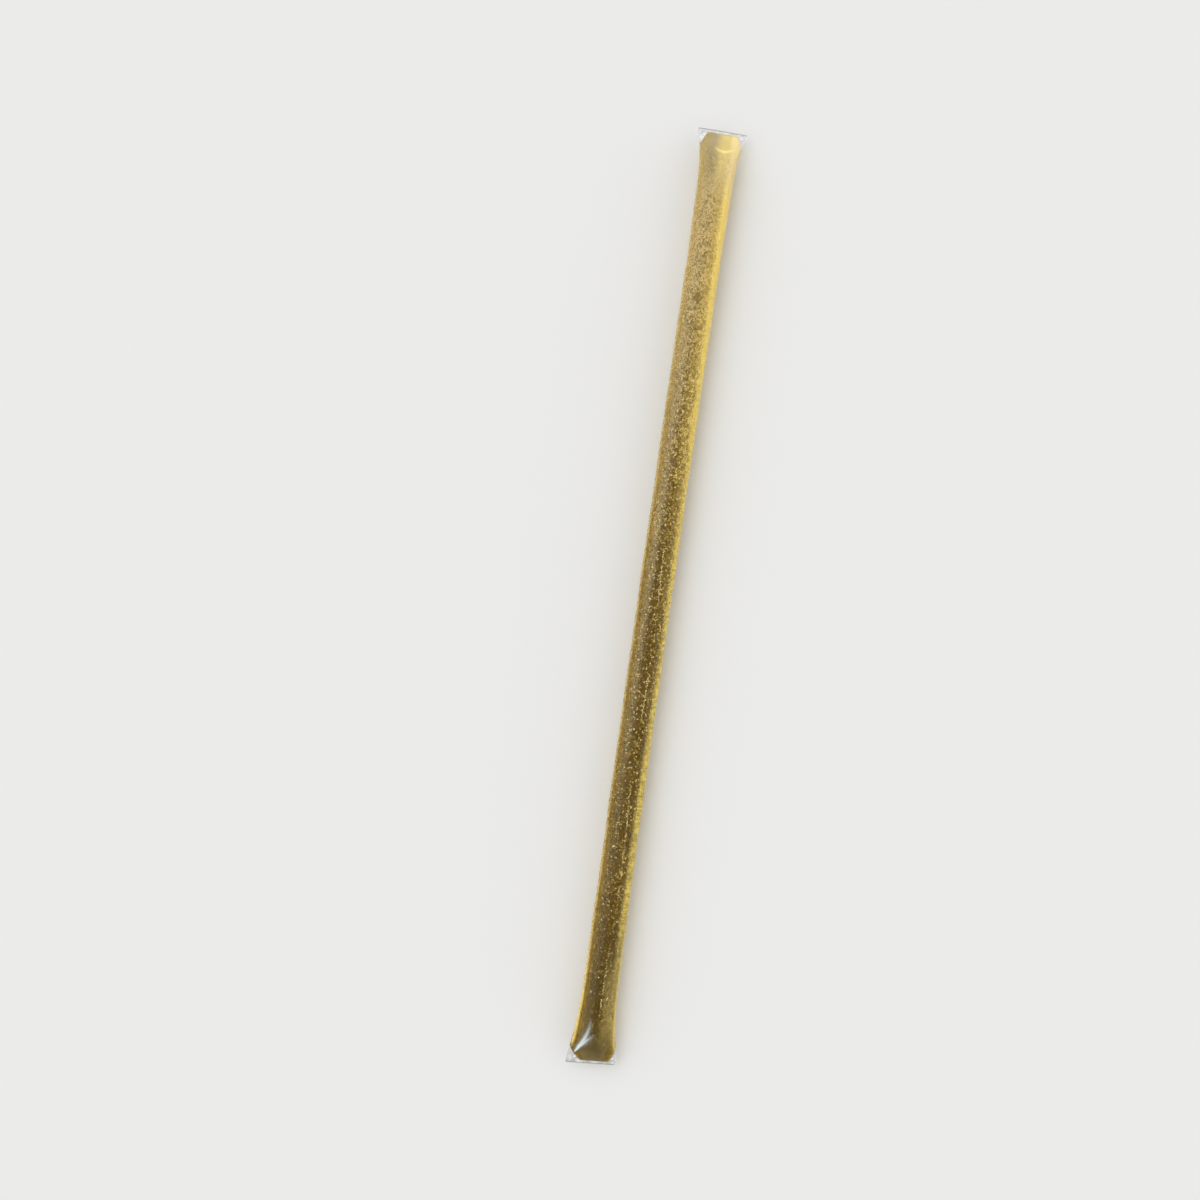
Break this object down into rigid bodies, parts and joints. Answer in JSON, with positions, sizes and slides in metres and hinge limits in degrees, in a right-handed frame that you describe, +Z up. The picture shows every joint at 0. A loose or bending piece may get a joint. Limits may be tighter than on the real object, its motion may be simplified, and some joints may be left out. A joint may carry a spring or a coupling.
{
  "type": "honey stick",
  "caption": "Clear plastic straw filled with golden honey, pressed flat and welded shut at each end, to be bitten or snipped open and squeezed.",
  "frame": {"origin": "on the floor, under the middle of the stick", "axes": "+X along the stick towards its head seal, the upper end in the picture; +Y towards the picture's left; +Z up from the floor"},
  "size_m": [0.178, 0.0094, 0.0056],
  "materials": {
    "film": "clear glossy plastic film, slightly milky where it is welded",
    "honey": "golden honey, see-through with a fine pale grain and small bubbles"
  },
  "bodies": {
    "root": {"straw": "film", "honey": "honey"}
  },
  "joints": []
}
